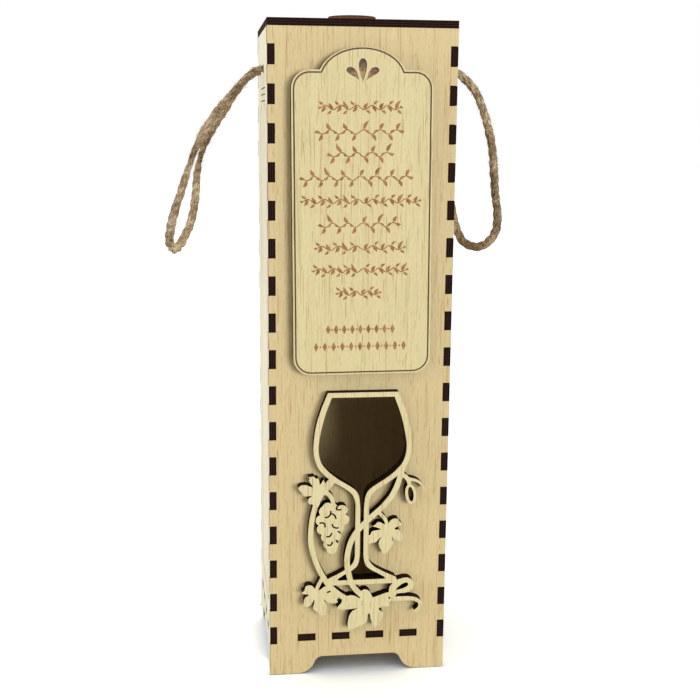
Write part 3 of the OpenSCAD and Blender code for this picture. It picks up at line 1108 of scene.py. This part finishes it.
# The left wall's face is paler than the other walls': partly its own veneer, partly painted light
# from the lamp on the left.
PALE_LIT_FACE: Colour = (235, 228, 200)
# The front's veneer is a little darker than the other walls' usual face: painted shade for the
# soft shadow round the plaque and the fretwork.
FRONT_SHADED_FACE: Colour = (213, 192, 141)
FRET_FACE: Colour = (219, 206, 157)
PLAQUE_FACE: Colour = (215, 201, 150)
KNOB_FACE: Colour = (96, 68, 50)


@dataclass
class Case:
    """The walls, the floor, the fretwork and the picture on the left wall.

    Attributes:
        wall_x: where the left wall's face is.
        bottle_at: where the pictured bottle's middle is, along the wall.
        neck, shoulder: half of its width at the neck and at the shoulder.
        top, foot: the heights of its neck's lower end and of its foot.
        slope: how far it falls from the neck to the shoulder.
        corner: the radius of its lower corners.
        line: how wide its lines are.
        ring_at, ring_half, ring_line: the rings' middle, half of their width, and their lines.
        ring_heights: where the rings are.
    """

    wall_x: float = -50 * MM
    bottle_at: float = 5
    neck: float = 17.0
    shoulder: float = 30.0
    top: float = 319.5
    foot: float = 40.0
    slope: float = 7
    corner: float = 5
    line: float = 1.8
    ring_at: float = 7
    ring_half: float = 21
    ring_line: float = 0.8
    ring_heights: Row = (327.4, 324.0, 320.6)

    def build(self) -> None:
        """Dress the glued parts and engrave the picture."""
        for node, look in (
            # The front's colour carries painted shade.
            ("front_panel", Ply("front_ply", Axis.Y, Axis.Z, FRONT_SHADED_FACE, outer=-0.047)),
            ("back_panel", Ply("back_ply", Axis.Y, Axis.Z, outer=0.049, shift=0.4)),
            # The left wall's colour carries painted light.
            ("left_side_panel",
             Ply("left_ply", Axis.X, Axis.Z, PALE_LIT_FACE, outer=-0.050, shift=0.8)),
            ("right_side_panel", Ply("right_ply", Axis.X, Axis.Z, outer=0.046, shift=1.2)),
            ("floor_panel", Ply("floor_ply", Axis.Z, Axis.X, outer=0.020, shift=1.6)),
            ("glass_vine_overlay",
             Ply("fret_ply", Axis.Y, Axis.Z, FRET_FACE, outer=-0.053, thick=0.006, shift=2.3)),
        ):
            dress(node, look.material())
        self.side_picture()

    def side_picture(self) -> None:
        """Engrave a plain bottle in outline on the left wall, with rings over its neck."""
        rim: Table = ((0, self.neck), (1, self.shoulder))
        fall = [(eased(rim, k / 20), self.top - self.slope * k / 20) for k in range(21)]
        r = self.corner
        corner = []
        for a in [k * math.pi / 12 for k in range(7)]:
            corner.append((self.shoulder - r + r * math.cos(a), self.foot + r - r * math.sin(a)))
        half = [*fall, *corner, (0, self.foot)]
        sides = [
            ribbon([(sign * x + self.bottle_at, z) for x, z in half], self.line)
            for sign in (-1, 1)
        ]
        steps = [k / 6 for k in range(-6, 7)]
        rings = [
            ribbon([(self.ring_at + self.ring_half * t, z + 0.3 * (1 - t * t)) for t in steps],
                   self.ring_line)
            for z in self.ring_heights
        ]
        turned = Matrix(((0, 0, -1), (-1, 0, 0), (0, 1, 0))).to_4x4()
        place = Matrix.Translation((self.wall_x, 0, 0)) @ turned
        light = Soot("pale_soot", dark=(170, 138, 72), light=(204, 176, 112)).material()
        dark = Soot("ring_soot", dark=(98, 78, 42), light=(142, 116, 72)).material()
        for name, shapes, look in (
            ("side_bottle_lines", sides, light), ("side_bottle_rings", rings, dark)
        ):
            keep(name, engraved(name, [shapes], place), "case", look)


@dataclass
class Lid:
    """The loose lid: its panel, its locating plate and its knob."""

    panel_z: float = 0.358
    plate_z: float = 0.354

    def build(self) -> None:
        """Dress the lid's parts."""
        for node, look in (
            ("lid_panel", Ply("lid_ply", Axis.Z, Axis.X, outer=self.panel_z, shift=3.1)),
            ("lid_locating_plate",
             Ply("plate_ply", Axis.Z, Axis.X, outer=self.plate_z, shift=3.7)),
        ):
            dress(node, look.material())
        for node, name, outer, burnt, core in (
            # The knob base's edge colours are a pale tan instead of char: painted highlight where
            # its front edge catches the light.
            ("lid_knob_base", "stem_ply", 0.362, (126, 100, 78), (150, 122, 98)),
            ("lid_knob_button", "cap_ply", 0.3645, (70, 48, 36), (112, 84, 64)),
        ):
            look = Ply(
                name, Axis.Z, Axis.Y, KNOB_FACE, burnt=burnt, core=core, outer=outer, shift=outer
            )
            dress(node, look.material())


# Studio --------


WHITE: Shade = (1.0, 1.0, 1.0, 1.0)
SEEING_RAYS = ("Camera", "Glossy", "Transmission")


@dataclass(frozen=True)
class Lamp:
    """One square lamp that faces the box.

    Attributes:
        place: where it hangs.
        size: its side.
        power: its power in watts.
        colour: its light.
        aim: the point that it faces.
    """

    name: str
    place: Point
    size: float
    power: float
    colour: Colour = (0.975, 1.0, 1.035)
    aim: Point = (0, 0, 0.18)

    def hang(self) -> bpy.types.Object:
        """Hang the lamp.

        Returns:
            The lamp.
        """
        data = bpy.data.lights.new(self.name, "AREA")
        data.shape, data.size = "SQUARE", self.size
        data.energy, data.color = self.power, self.colour
        lamp = bpy.data.objects.new(self.name, data)
        lamp.location = self.place
        toward = Vector(self.aim) - Vector(self.place)
        lamp.rotation_euler = toward.to_track_quat("-Z", "Y").to_euler()
        bpy.context.scene.collection.objects.link(lamp)
        return lamp


@dataclass
class Studio:
    """The camera, the white floor and the soft light.

    Attributes:
        eye, right, ahead: where the camera is, and its directions.
        lens: its focal length in millimetres.
        dome, zenith: the room's light from below and from above.
        warm: the room's light where nothing looks straight at it.
        lamps: the lamps, which light the box alone.
        floor_half, floor_drop: half of the floor's side, and how far below the box it is.
        floor_lit, floor_seen: the floor's white for light that bounces, and as it is seen.
    """

    eye: Point = (-0.0824, -0.6514, 0.3105)
    right: Point = (0.9922, -0.1241, 0.0084)
    ahead: Point = (0.1233, 0.9727, -0.1965)
    lens: float = 58.81
    dome: float = 0.28
    zenith: float = 0.92
    warm: Shade = (1.0, 0.95, 0.88, 1.0)
    lamps: tuple[Lamp, ...] = (
        Lamp("front", (1.3, -2.8, 0.45), 1.3, 75.0), Lamp("left", (-1.5, -0.15, 0.6), 0.9, 14.5)
    )
    floor_half: float = 6.0
    floor_drop: float = 0.0003
    floor_lit: Shade = (0.45, 0.45, 0.45, 1.0)
    floor_seen: Shade = (1.72, 1.84, 2.02, 1.0)

    def camera(self) -> None:
        """Place the camera as the photograph's."""
        data = bpy.data.cameras.new("camera")
        data.lens, data.sensor_width, data.clip_start = self.lens, 36.0, 0.01
        back = -Vector(self.ahead).normalized()
        side = Vector(self.right)
        side = (side - back * side.dot(back)).normalized()
        turned = Matrix((side, back.cross(side), back)).transposed().to_4x4()
        camera = bpy.data.objects.new("camera", data)
        camera.matrix_world = Matrix.Translation(self.eye) @ turned
        bpy.context.scene.collection.objects.link(camera)
        bpy.context.scene.camera = camera

    def seen(self, r: Recipe) -> Value:
        """Return 1 where the camera, a gloss or a clear thing looks at the surface."""
        path = r.add("ShaderNodeLightPath").socket.node
        camera, glossy, clear = (Value(r, path.outputs[f"Is {kind} Ray"]) for kind in SEEING_RAYS)
        return r.math("MAXIMUM", r.math("MAXIMUM", camera, glossy), clear)

    def floor(self) -> bpy.types.Object:
        """Lay the white floor, which keeps the box's shadow.

        Returns:
            The floor.
        """
        bm = bmesh.new()
        bmesh.ops.create_grid(bm, x_segments=1, y_segments=1, size=self.floor_half)
        bmesh.ops.translate(bm, verts=bm.verts, vec=(0, 0, -self.floor_drop))
        mesh = bpy.data.meshes.new("floor")
        bm.to_mesh(mesh)
        bm.free()
        r = Recipe(bpy.data.materials.new("floor_white"))
        white = r.mix(self.seen(r), self.floor_lit, self.floor_seen)
        mesh.materials.append(r.finish(r.add("ShaderNodeBsdfDiffuse", inputs={"Color": white})))
        floor = bpy.data.objects.new("floor", mesh)
        bpy.context.scene.collection.objects.link(floor)
        return floor

    def light(self, floor: bpy.types.Object) -> None:
        """Light the box softly, most from the right front.

        Args:
            floor: the floor, which only the room lights, so that it stays plain.
        """
        bpy.context.scene.world = bpy.data.worlds.new("white_room")
        r = Recipe(bpy.context.scene.world)
        up = r.split(r.add("ShaderNodeTexCoord", output="Generated"))[2].above(0.50, 0.9)
        seen = self.seen(r)
        strength = (self.dome + up * (self.zenith - self.dome)) * (1 - seen) + seen
        colour = r.mix(seen, self.warm, WHITE)
        sky = r.add("ShaderNodeBackground", inputs={"Color": colour, "Strength": strength})
        r.add("ShaderNodeOutputWorld", inputs={"Surface": sky})
        unlit = bpy.data.collections.new("unlit")
        unlit.objects.link(floor)
        unlit.collection_objects[0].light_linking.link_state = "EXCLUDE"
        for lamp in self.lamps:
            lamp.hang().light_linking.receiver_collection = unlit


# The loops' ways, in millimetres out of the wall, to the back, and over the holes.
LEFT_ROUTE: list[Point] = [
    (0, -15, 0), (5, -15, -1.6), (10.6, -15, -6.3), (17.5, -15, -14), (24.9, -15, -22.5),
    (32.2, -15, -33), (37.6, -15, -44), (41.8, -15, -55), (45.5, -15, -66), (49, -14.8, -76),
    (51.7, -13.5, -86), (52.7, -9.8, -94.5), (50.8, -3.3, -99), (47.4, 4, -98), (43.8, 9.5, -92),
    (40.5, 13, -84), (38.4, 14.5, -74), (37.4, 15, -63), (35.8, 15, -52), (32.6, 15, -42),
    (27.3, 15, -32), (21, 15, -22.5), (14.9, 15, -13), (7.6, 15, -4.2), (0, 15, 0),
]
LEFT_GIRTH: Table = (
    (0, 0.78), (0.08, 0.84), (0.2, 0.96), (0.265, 0.70), (0.33, 0.98), (0.42, 1.10), (0.5, 1.14),
    (0.6, 1.06), (0.68, 0.98), (0.75, 0.70), (0.81, 0.96), (0.92, 0.86), (1, 0.80),
)
RIGHT_ROUTE: list[Point] = [
    (0, -15, 0), (5, -15, 0), (12, -15, -4.5), (18.5, -15, -12), (23, -15, -22),
    (26.5, -15, -33), (28.8, -15, -44), (30, -15, -56), (31.2, -15, -68), (32.8, -14.8, -79),
    (32.5, -13, -89), (28.6, -8, -96.5), (23, -0.5, -99), (18, 6.5, -96.5), (14.8, 11.5, -89),
    (12.7, 14, -79), (11, 15, -68), (9.5, 15, -56), (9, 15, -44), (9, 15, -32), (9.6, 15, -20),
    (7, 15, -8), (0, 15, 0),
]


def main() -> None:
    """Build the box's looks in order."""
    studio = Studio()
    studio.camera()
    jute = Jute("jute").material()
    hair = Jute("jute_hair", (160, 138, 106), (210, 192, 158), (244, 233, 206)).material()
    RopeLoop(-1, "left", LEFT_ROUTE, 0.2445, 11, LEFT_GIRTH).build(jute, hair)
    RopeLoop(1, "right", RIGHT_ROUTE, 0.233, 23).build(jute, hair)
    Case().build()
    ply = Ply(
        "plaque_ply", Axis.Y, Axis.Z, PLAQUE_FACE, outer=-0.053, thick=0.006, shift=5.2,
        engraved=True,
    )
    Plaque().build(ply.material(), Soot("soot").material())
    Lid().build()
    studio.light(studio.floor())
    bpy.context.scene.view_settings.view_transform = "Standard"


if __name__ == "__main__":
    logging.basicConfig(level=logging.INFO, format="%(name)s %(message)s")
    main()
